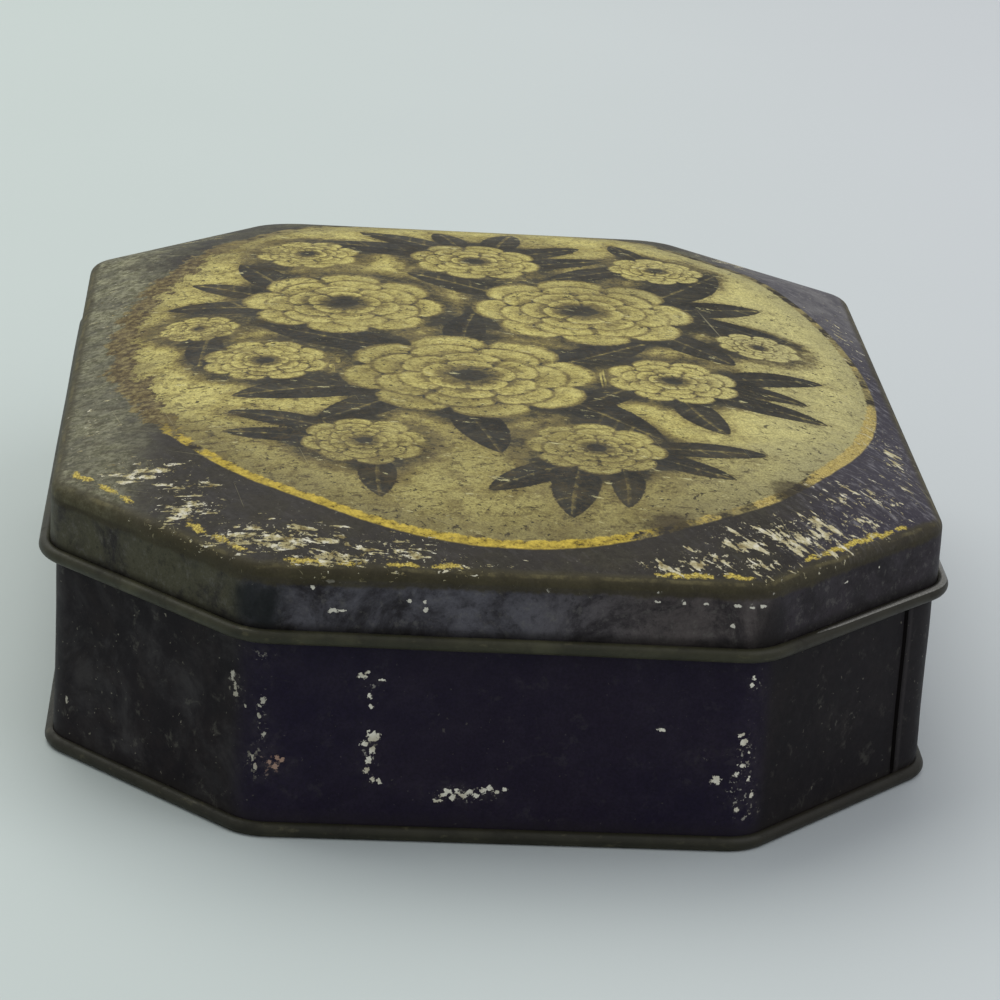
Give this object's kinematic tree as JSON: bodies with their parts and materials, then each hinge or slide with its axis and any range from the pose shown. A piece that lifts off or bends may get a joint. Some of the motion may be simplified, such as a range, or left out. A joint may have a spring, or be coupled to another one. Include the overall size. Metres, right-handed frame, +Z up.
{
  "type": "tin box",
  "caption": "Shallow eight-sided tin with a loose, gently crowned slip-on lid, curled rims and a printed top, for papers and small keepsakes.",
  "frame": {"origin": "centre of the footprint, on the surface that the tin stands on", "axes": "+Z up, the way the lid lifts; +Y from the front to the back, the long way of the tin; +X across it to the right"},
  "size_m": [0.113, 0.148, 0.0394],
  "materials": {
    "body_enamel": "aged near-black enamel, half matt, chipped to a pale ground",
    "bottom_tinplate": "tarnished khaki lacquer on tinplate",
    "lid_print": "printed and worn, dark border, gold ring and a sepia panel",
    "rim_wire": "plain drawn wire"
  },
  "bodies": {
    "tin": {"body_wall": "body_enamel", "bottom_plate": "bottom_tinplate"},
    "lid": {"lid_shell": "lid_print", "lid_rim_wire": "rim_wire"}
  },
  "joints": [
    {"name": "lid_lift", "type": "slide", "parent": "tin", "child": "lid", "axis": [0, 0, 1], "range_m": [0, 0.04]}
  ]
}
